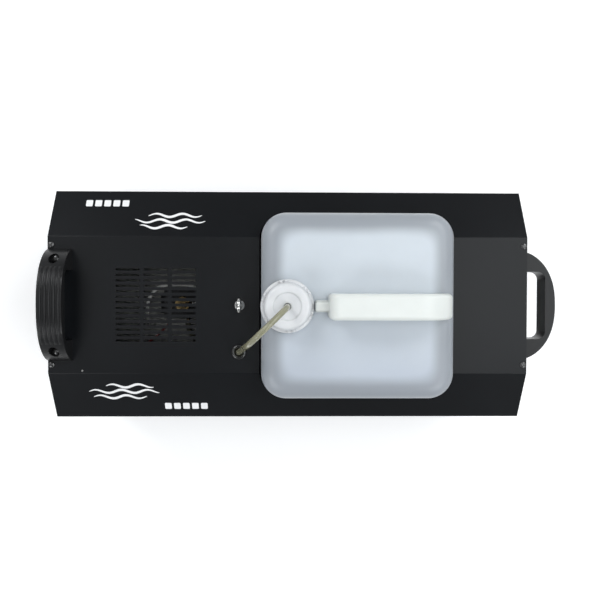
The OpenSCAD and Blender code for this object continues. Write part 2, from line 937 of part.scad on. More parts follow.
module fuse_holder() {
    color([0.04, 0.04, 0.04])
        translate([rear_x, fuse_y, row_z])
            difference() {
                union() {
                    rod_x(8.5, 2);
                    translate([-32, 0, 0]) rod_x(6.2, 33);
                }
                translate([-26, 0, 0]) rod_x(4.4, 40);
            }
}

module fuse_cap() {
    color([0.08, 0.08, 0.08])
        translate([rear_x + 2, fuse_y, row_z])
            difference() {
                union() {
                    rod_x(7, 6);
                    translate([-14, 0, 0]) rod_x(4, 15);
                }
                translate([4.5, -0.7, -5]) cube([3, 1.4, 10]);
            }
}

module dmx_shell(y) {
    translate([rear_x, y, row_z])
        difference() {
            union() {
                translate([2, 0, 0]) rotate([0, -90, 0]) round_slab(dmx_flange_h, dmx_flange_l, 2, 3);
                translate([-20, 0, 0]) rod_x(11.5, 21);
            }
            for (s = [-1, 1])
                translate([-1, s * 9.8, s * 12]) rod_x(1.7, 5);
            children();
        }
}

module dmx_in() {
    color([0.62, 0.62, 0.64])
        dmx_shell(dmx_in_y) translate([-14, 0, 0]) rod_x(9.4, 20);
    color([0.85, 0.75, 0.4])
        translate([rear_x - 14.5, dmx_in_y, row_z])
            for (a = [-90, 30, 150])
                rotate([a, 0, 0]) translate([0, 5, 0]) rod_x(1.2, 9);
}

module dmx_out() {
    color([0.62, 0.62, 0.64])
        dmx_shell(dmx_out_y) {
            translate([-14, 0, 0]) rod_x(9.8, 20);
            translate([-6, -4.3, 7.5]) cube([12, 8.6, 6.5]);
        }
}

// The contact insert stands on the shell's floor, a plug's rim goes round it
module dmx_out_core() {
    color([0.03, 0.03, 0.032])
        translate([rear_x, dmx_out_y, row_z])
            difference() {
                translate([-14, 0, 0]) rod_x(8, 16);
                for (a = [-90, 30, 150])
                    rotate([a, 0, 0]) translate([-10, 5, 0]) rod_x(1.4, 15);
            }
}

module dmx_latch() {
    color([0.3, 0.3, 0.32])
        translate([rear_x - 3, dmx_out_y - 4, 10.2 + row_z]) cube([6.2, 8, 3.5]);
}

module socket_screw_places() {
    for (y = [dmx_in_y, dmx_out_y], s = [-1, 1])
        translate([rear_x, y + s * 9.8, row_z + s * 12]) rotate([0, 90, 0]) children();
    for (s = [-1, 1])
        translate([rear_x, inlet_y + s * 24, row_z]) rotate([0, 90, 0]) children();
}

module socket_screws() {
    color([0.6, 0.6, 0.62])
        socket_screw_places() translate([0, 0, 2.5]) pan_screw(2.8, 1.5, 1.4, 9);
}

// ---------------------------------------------------------------- bottle

module bottle_body(inset) {
    translate([bottle_x, 0, bottle_z + inset])
        soft_box(bottle_l - 2 * inset, bottle_w - 2 * inset, bottle_h - 2 * inset,
            bottle_r - inset, bottle_edge_r - inset);
}

// Solid leg or bar of the moulded grip between two stations along X
module grip_part(x1, z1, h1, x2, z2, h2) {
    r = 5;
    hull()
        for (s = [[x1, z1, h1], [x2, z2, h2]], y = [-1, 1], up = [0, 1])
            translate([s[0], y * (grip_w / 2 - r), s[1] + r + up * (s[2] - 2 * r)])
                sphere(r, $fn = 16);
}

module bottle() {
    bar_h = 22;
    bar_z = grip_top - bar_h;
    root_z = bottle_top - 6;
    color([0.9, 0.92, 0.92])
        difference() {
            union() {
                bottle_body(0);
                translate([cap_x, 0, bottle_top - 16]) cylinder(r = neck_r, h = neck_top - bottle_top + 16);
                grip_part(grip_x1, bar_z, bar_h, grip_x2, bar_z, bar_h);
                grip_part(grip_x1, root_z, grip_top - root_z, grip_x1 + 12, root_z, grip_top - root_z);
                grip_part(grip_x2, bar_z, bar_h, grip_x3, bottle_top - 14, 30);
                translate([23, 0, root_z]) block(14, 12, 36);
            }
            bottle_body(bottle_wall);
            translate([cap_x, 0, bottle_top - 30]) cylinder(r = neck_r - 3, h = 80);
        }
}

module bottle_cap() {
    lug_count = 6;
    color([0.95, 0.94, 0.9])
        translate([cap_x, 0, cap_z])
            difference() {
                union() {
                    cylinder(r = cap_r, h = 5);
                    cylinder(r = cap_r - 3.2, h = cap_h);
                    for (i = [0:lug_count - 1], side = [-1, 1])
                        rotate([0, 0, i * 360 / lug_count + side * 5])
                            translate([cap_r - 3.4, 0, 0]) cylinder(r = 2.6, h = 9);
                }
                translate([0, 0, -1]) cylinder(r = neck_r + 0.6, h = cap_h - cap_plate + 1);
                translate([0, 0, cap_h - 1.5]) cylinder(r = cap_dish_r, h = 5);
                cylinder(r = hose_r + 0.7, h = cap_h + 1);
            }
}

module cap_seal() {
    color([0.85, 0.85, 0.8])
        translate([cap_x, 0, neck_top])
            difference() {
                cylinder(r = neck_r - 0.5, h = seal_h);
                translate([0, 0, -1]) cylinder(r = hose_r + 0.7, h = seal_h + 2);
            }
}

module supply_hose() {
    color([0.8, 0.79, 0.6, 0.8]) tube(smooth(hose_route, 3), hose_r, 10);
}

module pickup_filter() {
    color([0.75, 0.75, 0.72])
        translate([cap_x, 0, bottle_z + bottle_wall + 1])
            difference() {
                union() {
                    cylinder(r = 11, h = 20);
                    cylinder(r = 7, h = 32);
                }
                translate([0, 0, 29]) cylinder(r = hose_r + 0.1, h = 20);
            }
}

cover();
base_pan();
front_panel();
rear_panel();
bottle_well();
cover_screws();
rubber_feet();
foot_screws();
front_handle();
rear_handle();
handle_screws();
safety_eye();
eye_nut();
hose_grommet();
hose_coupling();
heat_shield();
heater_block();
heater_elements();
heater_insulation();
heater_shell();
heater_brackets();
thermostat();
nozzle();
nozzle_plate();
pump_coil();
pump_yoke();
pump_tube();
pump_plunger();
pump_spring();
pump_outlet();
pump_bracket();
feed_tube();
inlet_hose();
pump_leads();
heater_leads();
circuit_board();
board_spacers();
relays();
transformer();
display_housing();
display_window();
menu_button_1();
menu_button_2();
menu_button_3();
menu_button_4();
power_switch_frame();
power_rocker();
mains_inlet();
fuse_holder();
fuse_cap();
dmx_in();
dmx_out();
dmx_out_core();
dmx_latch();
socket_screws();
bottle();
bottle_cap();
cap_seal();
supply_hose();
pickup_filter();
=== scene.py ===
import json
import math

import bmesh
import bpy
from mathutils import Euler, Matrix, Vector


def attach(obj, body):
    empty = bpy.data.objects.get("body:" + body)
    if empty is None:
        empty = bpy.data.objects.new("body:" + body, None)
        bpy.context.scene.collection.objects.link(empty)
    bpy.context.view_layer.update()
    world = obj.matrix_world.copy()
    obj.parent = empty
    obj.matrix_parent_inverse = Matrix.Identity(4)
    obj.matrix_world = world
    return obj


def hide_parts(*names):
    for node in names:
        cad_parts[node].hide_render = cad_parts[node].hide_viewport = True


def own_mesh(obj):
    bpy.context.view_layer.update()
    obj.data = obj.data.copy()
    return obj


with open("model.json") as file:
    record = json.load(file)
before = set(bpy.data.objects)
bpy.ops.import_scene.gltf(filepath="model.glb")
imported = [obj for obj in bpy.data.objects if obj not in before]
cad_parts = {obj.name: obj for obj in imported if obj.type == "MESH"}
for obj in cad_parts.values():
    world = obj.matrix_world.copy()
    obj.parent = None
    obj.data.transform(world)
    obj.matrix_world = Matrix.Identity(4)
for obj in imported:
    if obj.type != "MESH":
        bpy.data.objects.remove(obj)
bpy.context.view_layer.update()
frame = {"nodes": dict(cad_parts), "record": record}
NODES = frame["nodes"]
MM = 0.001

# Places shared with the CAD model, in millimetres
CASE_X = -16
TOP_Z = 265
CASE_W = 304
TOP_W = 178
SLOPE_DROP = 35
REAR_X = 296
FRONT_HANDLE_X = CASE_X - 296
BOTTLE_X = 71.5
BOTTLE_HALF_L, BOTTLE_HALF_W = 123, 118.5
OPENING_L, OPENING_W, OPENING_R = 252, 243, 35
CAP_X = -18
BOTTLE_TOP = 300
GROMMET = (-81, -61)
EYE_X = -80


# ---------------------------------------------------------------- camera

def make_camera():
    data = bpy.data.cameras.new("camera")
    data.sensor_width = 36
    data.lens = 40.87
    cam = bpy.data.objects.new("camera", data)
    bpy.context.scene.collection.objects.link(cam)
    cam.location = (-0.0186, 0.0234, 1.1522)
    cam.rotation_mode = "ZYX"
    cam.rotation_euler = [math.radians(a) for a in (-1.062, -1.096, 0.128)]
    bpy.context.scene.camera = cam


make_camera()


# ---------------------------------------------------------------- mesh helpers

def new_object(name, data, body, material=None, replaces=()):
    obj = bpy.data.objects.new(name, data)
    bpy.context.scene.collection.objects.link(obj)
    if material:
        obj.data.materials.append(material)
    if body:
        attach(obj, body)
    if replaces:
        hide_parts(*replaces)
    return obj


def mesh_from(name, verts, faces):
    """Mesh from points in millimetres, with outward normals and no doubled points."""
    mesh = bpy.data.meshes.new(name)
    mesh.from_pydata([Vector(v) * MM for v in verts], [], faces)
    tidy(mesh)
    return mesh


def tidy(mesh, smooth_angle=40, flat_area=150):
    """Welds the mesh, turns its faces outward and shades large flat faces flat and the rest smooth."""
    bm = bmesh.new()
    bm.from_mesh(mesh)
    bmesh.ops.remove_doubles(bm, verts=bm.verts, dist=1e-6)
    bmesh.ops.dissolve_degenerate(bm, edges=bm.edges, dist=1e-7)
    bmesh.ops.recalc_face_normals(bm, faces=bm.faces)
    for f in bm.faces:
        f.smooth = f.calc_area() < flat_area * MM * MM
    limit = math.radians(smooth_angle)
    for e in bm.edges:
        e.smooth = len(e.link_faces) != 2 or e.calc_face_angle(0) < limit
    bm.to_mesh(mesh)
    bm.free()


def loft(name, rings, closed=False):
    """Skin over rings of points; the end rings are capped unless the rings run in a loop."""
    n = len(rings[0])
    verts = [p for r in rings for p in r]
    faces = []
    count = len(rings) if closed else len(rings) - 1
    for i in range(count):
        a, b = i * n, ((i + 1) % len(rings)) * n
        for j in range(n):
            k = (j + 1) % n
            faces.append((a + j, a + k, b + k, b + j))
    if not closed:
        faces.append(tuple(range(n))[::-1])
        last = (len(rings) - 1) * n
        faces.append(tuple(last + j for j in range(n)))
    return mesh_from(name, verts, faces)


def lathe(name, profile, centre=(0, 0), steps=72, closed=True, axis="Z"):
    """Turned shape: profile is (radius, height) pairs, closed round a hole or capped on the axis."""
    rings = []
    for r, z in profile:
        ring = []
        for i in range(steps):
            a = 2 * math.pi * i / steps
            u, v = r * math.cos(a), r * math.sin(a)
            if axis == "Z":
                ring.append((centre[0] + u, centre[1] + v, z))
            else:
                ring.append((z, centre[0] + u, centre[1] + v))
        rings.append(ring)
    return loft(name, rings, closed)


def rect_ring(cx, cy, half_l, half_w, r, z, steps=12):
    ring = []
    corners = ((1, 1, 0), (-1, 1, 90), (-1, -1, 180), (1, -1, 270))
    for sx, sy, start in corners:
        for i in range(steps + 1):
            a = math.radians(start + 90 * i / steps)
            ring.append((cx + sx * (half_l - r) + r * math.cos(a),
                         cy + sy * (half_w - r) + r * math.sin(a), z))
    return ring


def arc(cx, cy, r, start, end, steps):
    return [(cx + r * math.cos(math.radians(start + (end - start) * i / steps)),
             cy + r * math.sin(math.radians(start + (end - start) * i / steps)))
            for i in range(steps + 1)]


def prism(name, outline, depth, place, bevel=0.0, segments=3, angle=30):
    """Outline of (u, v) pairs, depth deep both ways from its plane, with rounded edges."""
    n = len(outline)
    verts = [(u, v, -depth / 2) for u, v in outline] + [(u, v, depth / 2) for u, v in outline]
    faces = [tuple(range(n))[::-1], tuple(range(n, 2 * n))]
    faces += [(i, (i + 1) % n, n + (i + 1) % n, n + i) for i in range(n)]
    mesh = mesh_from(name, verts, faces)
    mesh.transform(place if isinstance(place, Matrix) else Matrix.Identity(4))
    if bevel:
        bm = bmesh.new()
        bm.from_mesh(mesh)
        limit = math.radians(angle)
        edges = [e for e in bm.edges if e.calc_face_angle(0) > limit]
        bmesh.ops.bevel(bm, geom=edges, offset=bevel * MM, segments=segments, profile=0.5,
                        affect="EDGES", clamp_overlap=True)
        bm.to_mesh(mesh)
        bm.free()
        tidy(mesh)
    return mesh


def join(name, meshes):
    """One mesh out of several."""
    bm = bmesh.new()
    for m in meshes:
        bm.from_mesh(m)
    out = bpy.data.meshes.new(name)
    bm.to_mesh(out)
    bm.free()
    for m in meshes:
        bpy.data.meshes.remove(m)
    return out


def moved(mesh, matrix):
    copy = mesh.copy()
    copy.transform(matrix)
    return copy


def carve(mesh, other, operation="DIFFERENCE"):
    """Boolean of two meshes, applied."""
    a = bpy.data.objects.new("carve_a", mesh)
    b = bpy.data.objects.new("carve_b", other)
    scene = bpy.context.scene
    scene.collection.objects.link(a)
    scene.collection.objects.link(b)
    mod = a.modifiers.new("cut", "BOOLEAN")
    mod.operation = operation
    mod.solver = "EXACT"
    mod.object = b
    bpy.context.view_layer.update()
    result = bpy.data.meshes.new_from_object(a.evaluated_get(bpy.context.evaluated_depsgraph_get()))
    result.name = mesh.name
    bpy.data.objects.remove(a)
    bpy.data.objects.remove(b)
    bpy.data.meshes.remove(other)
    bpy.data.meshes.remove(mesh)
    tidy(result)
    return result


def spot(x, y, z, rx=0, ry=0, rz=0):
    """Placing matrix in metres, from millimetres and degrees."""
    turn = Euler([math.radians(a) for a in (rx, ry, rz)]).to_matrix().to_4x4()
    return Matrix.Translation(Vector((x, y, z)) * MM) @ turn


# ---------------------------------------------------------------- materials

def finish_material(name, colour, rough, metal=0.0, vary=0.08, scale=12.0, grain=900.0, bump=0.1,
                    depth=0.1, rough_vary=0.08, stretch=(1, 1, 1), specular=0.5, coat=0.0,
                    scatter=0.0, through=0.0, ior=1.5, second=None, sheen=0.0):
    """Noise-driven colour, roughness and surface grain around one finish."""
    mat = bpy.data.materials.new(name)
    mat.use_nodes = True
    tree = mat.node_tree
    shader = tree.nodes["Principled BSDF"]
    link = tree.links.new

    def node(kind, **values):
        made = tree.nodes.new(kind)
        for key, value in values.items():
            made.inputs[key].default_value = value
        return made

    where = tree.nodes.new("ShaderNodeTexCoord")
    mapping = node("ShaderNodeMapping", Scale=stretch)
    link(where.outputs["Object"], mapping.inputs["Vector"])
    broad = node("ShaderNodeTexNoise", Scale=scale, Detail=5.0, Roughness=0.6)
    fine = node("ShaderNodeTexNoise", Scale=grain, Detail=3.0, Roughness=0.55)
    for n in (broad, fine):
        link(mapping.outputs["Vector"], n.inputs["Vector"])

    ramp = tree.nodes.new("ShaderNodeValToRGB")
    ramp.color_ramp.elements[0].position = 0.3
    ramp.color_ramp.elements[1].position = 0.7
    low = second or [c * (1 - vary) for c in colour]
    ramp.color_ramp.elements[0].color = (*low, 1)
    ramp.color_ramp.elements[1].color = (*[min(1, c * (1 + vary)) for c in colour], 1)
    link(broad.outputs["Fac"], ramp.inputs["Fac"])
    link(ramp.outputs["Color"], shader.inputs["Base Color"])

    spread = tree.nodes.new("ShaderNodeMapRange")
    spread.inputs["To Min"].default_value = max(0.02, rough - rough_vary)
    spread.inputs["To Max"].default_value = min(1, rough + rough_vary)
    link(fine.outputs["Fac"], spread.inputs["Value"])
    link(spread.outputs["Result"], shader.inputs["Roughness"])

    relief = node("ShaderNodeBump", Strength=bump, Distance=depth * MM)
    link(fine.outputs["Fac"], relief.inputs["Height"])
    link(relief.outputs["Normal"], shader.inputs["Normal"])

    shader.inputs["Metallic"].default_value = metal
    shader.inputs["Specular IOR Level"].default_value = specular
    shader.inputs["Coat Weight"].default_value = coat
    shader.inputs["Coat Roughness"].default_value = 0.12
    shader.inputs["Subsurface Weight"].default_value = scatter
    shader.inputs["Subsurface Radius"].default_value = (0.012, 0.011, 0.01)
    shader.inputs["Subsurface Scale"].default_value = 1.0
    shader.inputs["Transmission Weight"].default_value = through
    shader.inputs["IOR"].default_value = ior
    shader.inputs["Sheen Weight"].default_value = sheen
    return mat


FINISHES = {
    "case_paint": dict(colour=(0.0038, 0.0045, 0.0056), rough=0.33, vary=0.2, scale=7, grain=1400, bump=0.16,
                       depth=0.10, rough_vary=0.05, specular=0.22),
    "black_screws": dict(colour=(0.10, 0.10, 0.10), rough=0.28, metal=0.9, vary=0.3, scale=300, grain=1500),
    # Near-black steel, darkened as painted shade for the parts seen through the vents.
    "dark_steel": dict(colour=(0.014, 0.014, 0.015), rough=0.5, metal=0.3, vary=0.2, scale=60, grain=900,
                       bump=0.2),
    "rubber": dict(colour=(0.007, 0.007, 0.007), rough=0.5, vary=0.25, scale=60, grain=1200, bump=0.2),
    "zinc": dict(colour=(0.30, 0.30, 0.285), rough=0.40, metal=1.0, vary=0.16, scale=45, grain=700,
                 stretch=(1, 6, 1), bump=0.08),
    "handle_plastic": dict(colour=(0.005, 0.0052, 0.0056), rough=0.34, vary=0.15, scale=30, grain=1800,
                           bump=0.35, depth=0.08, specular=0.30),
    "bright_steel": dict(colour=(0.60, 0.60, 0.58), rough=0.14, metal=1.0, vary=0.08, scale=90, grain=1300,
                         bump=0.05, rough_vary=0.06),
    # Brass at half its brightness: painted shade for the parts seen through the vents.
    "brass": dict(colour=(0.34, 0.245, 0.11), rough=0.22, metal=1.0, vary=0.18, scale=80, grain=900),
    "cast_aluminium": dict(colour=(0.22, 0.22, 0.215), rough=0.55, metal=1.0, vary=0.15, scale=70, grain=600,
                           bump=0.4, depth=0.3),
    "lagging": dict(colour=(0.75, 0.70, 0.58), rough=0.9, vary=0.18, scale=90, grain=500, bump=0.7,
                    depth=0.6, sheen=0.3),
    "ceramic_white": dict(colour=(0.70, 0.67, 0.60), rough=0.7, vary=0.1, scale=80, grain=1200, bump=0.2),
    "coil_plastic": dict(colour=(0.03, 0.03, 0.06), rough=0.45, vary=0.2, scale=60, grain=1000),
    "feed_tube": dict(colour=(0.85, 0.85, 0.82), rough=0.14, vary=0.1, scale=60, grain=500, coat=0.6,
                      scatter=0.2),
    "hose": dict(colour=(0.28, 0.275, 0.185), rough=0.2, vary=0.14, scale=22, grain=260, bump=0.06,
                 depth=0.2, coat=0.5, through=0.25, ior=1.42, scatter=0.3),
    "lead_red": dict(colour=(0.14, 0.012, 0.012), rough=0.25, vary=0.15, scale=60, grain=900),
    "lead_white": dict(colour=(0.40, 0.385, 0.345), rough=0.8, vary=0.15, scale=200, grain=1600, bump=0.5),
    "board_green": dict(colour=(0.015, 0.11, 0.04), rough=0.35, vary=0.25, scale=120, grain=500, coat=0.3),
    "relay_blue": dict(colour=(0.02, 0.07, 0.30), rough=0.4, vary=0.1, scale=80, grain=900),
    "black_plastic": dict(colour=(0.007, 0.007, 0.0075), rough=0.42, vary=0.2, scale=60, grain=1500,
                          bump=0.3),
    "window": dict(colour=(0.02, 0.05, 0.035), rough=0.08, vary=0.2, scale=25, grain=400, bump=0.02,
                   coat=1.0),
    "button_plastic": dict(colour=(0.03, 0.03, 0.032), rough=0.4, vary=0.15, scale=150, grain=1500, bump=0.2),
    "rocker_red": dict(colour=(0.42, 0.012, 0.01), rough=0.22, vary=0.12, scale=120, grain=900, coat=0.4),
    "socket_metal": dict(colour=(0.45, 0.45, 0.46), rough=0.3, metal=1.0, vary=0.12, scale=90, grain=900),
    "bottle_plastic": dict(colour=(0.525, 0.57, 0.61), rough=0.36, vary=0.035, scale=9, grain=240, bump=0.05,
                           depth=0.3, scatter=0.35, ior=1.5),
    "cap_plastic": dict(colour=(0.63, 0.64, 0.65), rough=0.34, vary=0.03, scale=40, grain=500, bump=0.06,
                        depth=0.15, scatter=0.2),
    "seal": dict(colour=(0.6, 0.6, 0.56), rough=0.8, vary=0.1, scale=100, grain=900, bump=0.4),
    "filter": dict(colour=(0.5, 0.5, 0.46), rough=0.7, vary=0.15, scale=120, grain=700, bump=0.4),
}
MATERIALS = {name: finish_material(name, **values) for name, values in FINISHES.items()}
GRIP = finish_material("grip_ivory", (0.655, 0.68, 0.655), 0.38, vary=0.03, scale=18, grain=260,
                       bump=0.05, depth=0.25, scatter=0.25)


def paint_shoulder_shade(mat, shoulder_shade, near_side_shade, wall_shade):
    """Painted shade: greys the shoulder band where the bottle curves down, greys its side walls and darkens
    its -Y side, all by position on the bottle.
    """
    tree = mat.node_tree
    link = tree.links.new
    shader = tree.nodes["Principled BSDF"]
    plain = shader.inputs["Base Color"].links[0].from_socket

    def math_node(kind, *sources):
        made = tree.nodes.new("ShaderNodeMath")
        made.operation = kind
        for slot_input, source in zip(made.inputs, sources):
            if isinstance(source, (int, float)):
                slot_input.default_value = source
            else:
                link(source, slot_input)
        return made.outputs[0]

    where = tree.nodes.new("ShaderNodeTexCoord")
    split = tree.nodes.new("ShaderNodeSeparateXYZ")
    link(where.outputs["Object"], split.inputs["Vector"])
    u = math_node("MULTIPLY", math_node("SUBTRACT", split.outputs["X"], BOTTLE_X * MM),
                  1 / (BOTTLE_HALF_L * MM))
    v = math_node("MULTIPLY", split.outputs["Y"], 1 / (BOTTLE_HALF_W * MM))
    power = 12.0
    total = math_node("ADD", math_node("POWER", math_node("ABSOLUTE", u), power),
                      math_node("POWER", math_node("ABSOLUTE", v), power))
    reach = math_node("POWER", total, 1 / power)
    patch = tree.nodes.new("ShaderNodeTexNoise")
    patch.inputs["Scale"].default_value = 14.0
    link(where.outputs["Object"], patch.inputs["Vector"])
    drift = math_node("MULTIPLY", math_node("SUBTRACT", patch.outputs["Fac"], 0.5), 0.05)
    reach = math_node("ADD", reach, drift)
    # Painted shade: greys the shoulder band where the bottle curves down.
    band = tree.nodes.new("ShaderNodeMapRange")
    band.interpolation_type = "SMOOTHSTEP"
    band.inputs["From Min"].default_value = 0.72
    band.inputs["From Max"].default_value = 0.87
    band.inputs["To Max"].default_value = 0.9
    link(reach, band.inputs["Value"])
    mix = tree.nodes.new("ShaderNodeMix")
    mix.data_type = "RGBA"
    link(band.outputs["Result"], mix.inputs["Factor"])
    mix.inputs["B"].default_value = (*shoulder_shade, 1)
    # Painted shade: greys the side walls, a lighter grey than the shoulder band.
    rim = tree.nodes.new("ShaderNodeMapRange")
    rim.inputs["From Min"].default_value = 0.975
    rim.inputs["From Max"].default_value = 1.01
    rim.inputs["To Max"].default_value = 0.55
    link(reach, rim.inputs["Value"])
    # Painted shade: darkens the -Y side of the bottle.
    near_side_mask = tree.nodes.new("ShaderNodeMapRange")
    near_side_mask.inputs["From Min"].default_value = 0.03
    near_side_mask.inputs["From Max"].default_value = -0.12
    near_side_mask.inputs["To Max"].default_value = 0.75
    link(math_node("ADD", split.outputs["Y"], math_node("MULTIPLY", patch.outputs["Fac"], 0.03)),
         near_side_mask.inputs["Value"])
    near_side_mix = tree.nodes.new("ShaderNodeMix")
    near_side_mix.data_type = "RGBA"
    link(near_side_mask.outputs["Result"], near_side_mix.inputs["Factor"])
    link(plain, near_side_mix.inputs["A"])
    near_side_mix.inputs["B"].default_value = (*near_side_shade, 1)
    link(near_side_mix.outputs["Result"], mix.inputs["A"])
    edge = tree.nodes.new("ShaderNodeMix")
    edge.data_type = "RGBA"
    link(rim.outputs["Result"], edge.inputs["Factor"])
    link(mix.outputs["Result"], edge.inputs["A"])
    edge.inputs["B"].default_value = (*wall_shade, 1)
    link(edge.outputs["Result"], shader.inputs["Base Color"])


# Painted shade colours for the bottle: shoulder band, -Y side, side walls.
paint_shoulder_shade(MATERIALS["bottle_plastic"], (0.265, 0.285, 0.31), (0.355, 0.395, 0.47), (0.5, 0.51, 0.52))
PRINT = finish_material("white_print", (0.80, 0.80, 0.80), 0.55, vary=0.05, scale=160, grain=1600,
                        bump=0.1, depth=0.03)


# ---------------------------------------------------------------- supply hose

HOSE_R = 3.75
HOSE_LOW = (68, 120, 170, 215, 243, 256, 268)
HOSE_DROP = (318, 303, 275, 230, 190, 148)
HOSE_BEND = 34
HOSE_END_Z = 331


def hose_route():
    """The route of the CAD hose: up through the grommet, over at a slant, and down into the cap."""
    away = Vector((CAP_X - GROMMET[0], -GROMMET[1]))
    span = away.length
    away.normalize()
    start_z = HOSE_LOW[-1]
    lean = math.atan((span - 2 * HOSE_BEND) / (HOSE_END_Z - start_z))
    far = span - HOSE_BEND
    lean_s = HOSE_BEND * (1 - math.cos(lean))
    lean_z = start_z + HOSE_BEND * math.sin(lean)

    def at(s, z):
        return Vector((GROMMET[0] + away.x * s, GROMMET[1] + away.y * s, z))

    points = [at(0, z) for z in HOSE_LOW]
    points += [at(lean_s + (far - HOSE_BEND) * i / 5, lean_z + (HOSE_END_Z - start_z) * i / 5)
               for i in range(5)]
    for i in range(9):
        a = (math.pi - lean) * (1 - i / 8)
        points.append(at(far + HOSE_BEND * math.cos(a), HOSE_END_Z + HOSE_BEND * math.sin(a)))
    return points + [at(span, z) for z in HOSE_DROP]


def smooth_route(points, steps):
    """Catmull-Rom curve through the points."""
    out = []
    last = len(points) - 1
    for i in range(last):
        a, b = points[max(i - 1, 0)], points[i]
        c, d = points[i + 1], points[min(i + 2, last)]
        for k in range(steps):
            t = k / steps
            out.append(0.5 * (2 * b + (c - a) * t + (2 * a - 5 * b + 4 * c - d) * t * t
                              + (3 * b - a - 3 * c + d) * t ** 3))
    return out + [points[last]]


def make_hose():
    route = smooth_route(hose_route(), 3)
    data = bpy.data.curves.new("supply_tube", "CURVE")
    data.dimensions = "3D"
    data.bevel_depth = HOSE_R * MM
    data.bevel_resolution = 6
    data.use_fill_caps = True
    line = data.splines.new("POLY")
    line.points.add(len(route) - 1)
    for point, p in zip(line.points, route):
        point.co = (*(p * MM), 1)
    line.use_smooth = True
    hose = new_object("supply_tube", data, "bottle", MATERIALS["hose"], ["supply_hose"])


make_hose()


# ---------------------------------------------------------------- bottle

def bottle_skin(name, inset, top, shoulder_in, shoulder_h, crown):
    half_l, half_w, corner = BOTTLE_HALF_L - inset, BOTTLE_HALF_W - inset, 32 - inset
    bottom = 115 + inset
    foot = 18 - inset
    rings = []
    rings.append(rect_ring(BOTTLE_X, 0, half_l - foot, half_w - foot, max(corner - foot, 4), bottom))
    for i in range(1, 7):
        a = math.radians(90 * i / 6)
        pull = foot * (1 - math.sin(a))
        rings.append(rect_ring(BOTTLE_X, 0, half_l - pull, half_w - pull, max(corner - pull, 4),
                               bottom + foot * (1 - math.cos(a))))
    for z in (150, 190, 230, 262):
        rings.append(rect_ring(BOTTLE_X, 0, half_l, half_w, corner, z))
    low = top - shoulder_h - crown
    for i in range(13):
        a = math.radians(90 * i / 12)
        pull = shoulder_in * (1 - math.cos(a)) ** 1.05
        rings.append(rect_ring(BOTTLE_X, 0, half_l - pull, half_w - pull, max(corner - pull * 0.62, 6),
                               low + shoulder_h * math.sin(a)))
    for pull, up in ((32, 0.35), (50, 0.7), (75, 0.92), (100, 1.0)):
        rings.append(rect_ring(BOTTLE_X, 0, half_l - pull, half_w - pull, 10, top - crown + crown * up))
    mesh = loft(name, rings)
    return mesh


def make_bottle():
    shell = bottle_skin("bottle_shell", 0, BOTTLE_TOP, 21, 17, 1.2)
    shell = carve(shell, bottle_skin("inner", 2, BOTTLE_TOP - 2, 19.5, 15.5, 1.0))
    neck = lathe("neck",
                 [(0.01, 296), (30, 296), (30, 299.2), (28.6, 301), (27, 303.5), (27, 322), (0.01, 322)],
                 (CAP_X, 0))
    shell = carve(shell, neck, "UNION")
    shell = carve(shell, lathe("bore", [(0.01, 270), (24, 270), (24, 330), (0.01, 330)], (CAP_X, 0)))
    tidy(shell, flat_area=1e6)
    new_object("bottle_shell", shell, "bottle", MATERIALS["bottle_plastic"], ["bottle"])

    outer = [(33, 292)] + [(33, 300), (33, 336)]
    outer += arc(44, 336, 11, 180, 90, 8)
    outer += arc(142, 301, 46, 90, 12, 14)
    outer += [(189, 300), (190.5, 288)]
    inner = [(168, 288), (163, 299)]
    inner += arc(140, 301, 24, 20, 90, 7)
    inner += arc(58, 313, 12, 90, 180, 6)
    inner += [(45.5, 300), (44, 292)]
    grip = prism("bottle_grip", outer + inner, 32, Matrix.Identity(4), bevel=6, segments=6, angle=40)
    grip.transform(Matrix.Rotation(math.radians(90), 4, "X"))
    new_object("bottle_grip", grip, "bottle", GRIP)

    web = [(16.6, 296), (16.6, 318), (19, 321), (26, 323), (37, 326), (37, 296)]
    rib = prism("web", web, 11, Matrix.Identity(4), bevel=1.8, segments=4, angle=30)
    rib.transform(Matrix.Rotation(math.radians(90), 4, "X"))
    skirt = prism("skirt", [(16.6, 296), (16.6, 306), (37, 308), (37, 296)], 15, Matrix.Identity(4),
                  bevel=2.4, segments=4)
    skirt.transform(Matrix.Rotation(math.radians(90), 4, "X"))
    new_object("bottle_rib", join("bottle_rib", [rib, skirt]), "bottle", GRIP)


make_bottle()


# ---------------------------------------------------------------- cap

